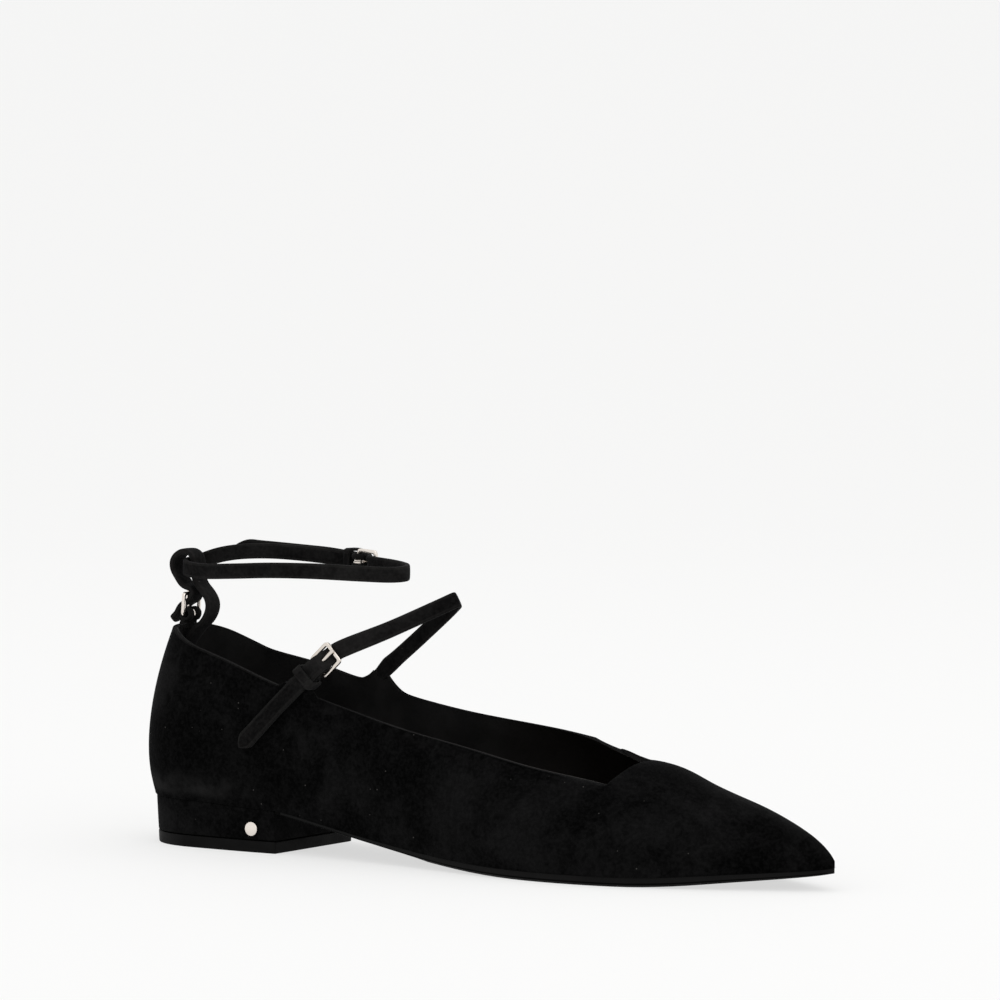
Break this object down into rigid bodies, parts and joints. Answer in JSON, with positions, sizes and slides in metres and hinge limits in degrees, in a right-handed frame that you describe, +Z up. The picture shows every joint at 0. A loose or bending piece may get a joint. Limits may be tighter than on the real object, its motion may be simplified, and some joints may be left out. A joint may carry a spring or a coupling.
{
  "type": "flat shoe",
  "caption": "Pointed flat shoe with a low stacked heel, an instep strap and an ankle strap, both buckled, and an open topline with a pointed throat.",
  "frame": {"origin": "on the floor under the middle of the shoe's bounding box", "axes": "+X from the heel to the toe, +Y to the inner side of the foot, +Z up"},
  "size_m": [0.2606, 0.0724, 0.1012],
  "materials": {
    "suede": "black suede, matt, with a short mottled nap",
    "lining": "smooth black lining leather",
    "sole": "black sole leather with a waxed edge",
    "lift": "matt black rubber",
    "metal": "polished pale metal with a warm tint"
  },
  "bodies": {
    "root": {"upper": "suede", "insole": "lining", "outsole": "sole", "heel_block": "suede", "top_lift": "lift", "heel_stud": "metal", "instep_tab": "suede", "instep_strap": "suede", "instep_keeper": "suede", "instep_buckle": "metal", "instep_prong": "metal", "ankle_strap": "suede", "ankle_keeper": "suede", "ankle_buckle": "metal", "ankle_prong": "metal", "heel_tab": "suede", "heel_loop": "suede", "rear_buckle": "metal", "rear_prong": "metal"}
  },
  "joints": []
}
